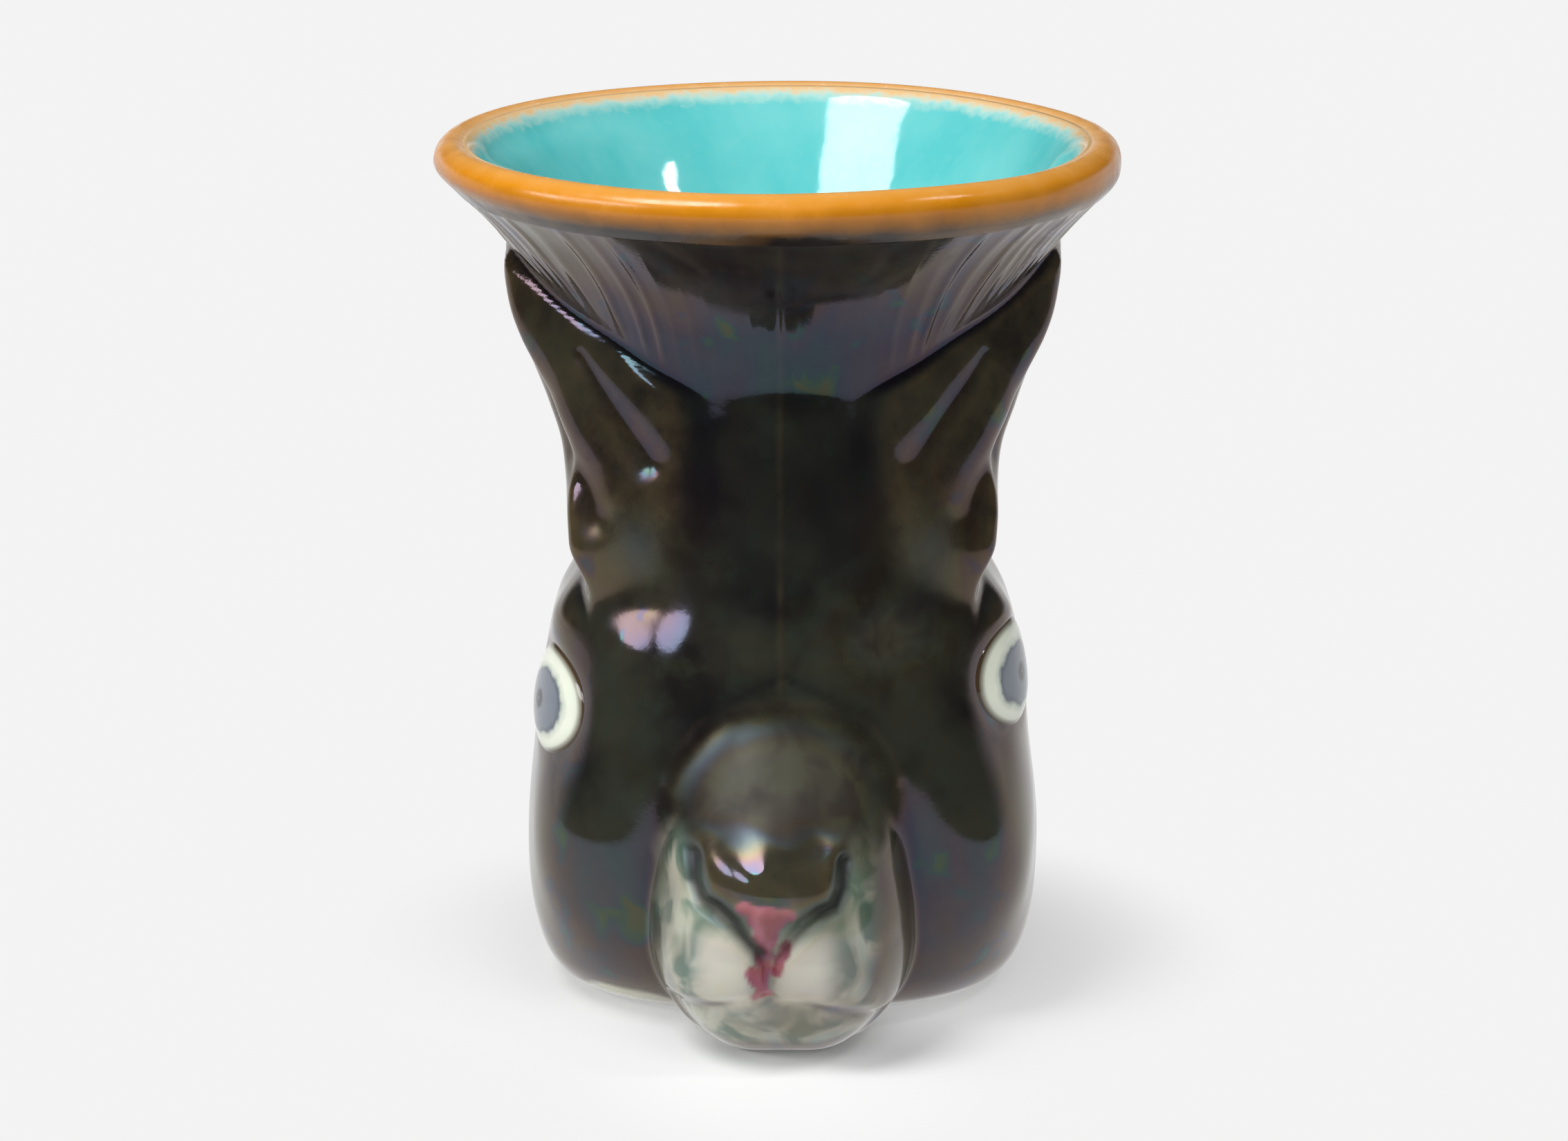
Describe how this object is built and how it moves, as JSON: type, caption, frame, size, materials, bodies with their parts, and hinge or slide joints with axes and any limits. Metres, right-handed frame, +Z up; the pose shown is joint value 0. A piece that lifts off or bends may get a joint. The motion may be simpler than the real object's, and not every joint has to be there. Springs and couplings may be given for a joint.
{
  "type": "stirrup cup",
  "caption": "Glazed earthenware stirrup cup in the form of a hare's head, standing on its flat jaw, with relief ears on a fluted neck that flares to a round rolled lip.",
  "frame": {"origin": "on the floor, on the vertical axis of the lip, in the middle of the flat jaw", "axes": "+Z up along the lip's axis, -Y the way the face looks, +X to the viewer's right of the face"},
  "size_m": [0.1, 0.1099, 0.125],
  "materials": {
    "brown_glaze": "glossy dark brown lead glaze with an iridescent lustre",
    "ochre_glaze": "glossy ochre glaze",
    "turquoise_glaze": "glossy turquoise glaze",
    "white_glaze": "glossy white glaze",
    "grey_glaze": "glossy blue-grey glaze",
    "black_glaze": "glossy black glaze",
    "pink_glaze": "glossy pink glaze",
    "pale_glaze": "glossy pale grey-green glaze"
  },
  "bodies": {
    "root": {"left_shell": "brown_glaze", "right_shell": "brown_glaze", "left_ear": "brown_glaze", "right_ear": "brown_glaze", "lip": "ochre_glaze", "bowl_lining": "turquoise_glaze", "left_eye": "white_glaze", "right_eye": "white_glaze", "left_iris": "grey_glaze", "right_iris": "grey_glaze", "left_pupil": "black_glaze", "right_pupil": "black_glaze", "nose": "pink_glaze", "left_pad": "pale_glaze", "right_pad": "pale_glaze", "chin": "pale_glaze"}
  },
  "joints": []
}
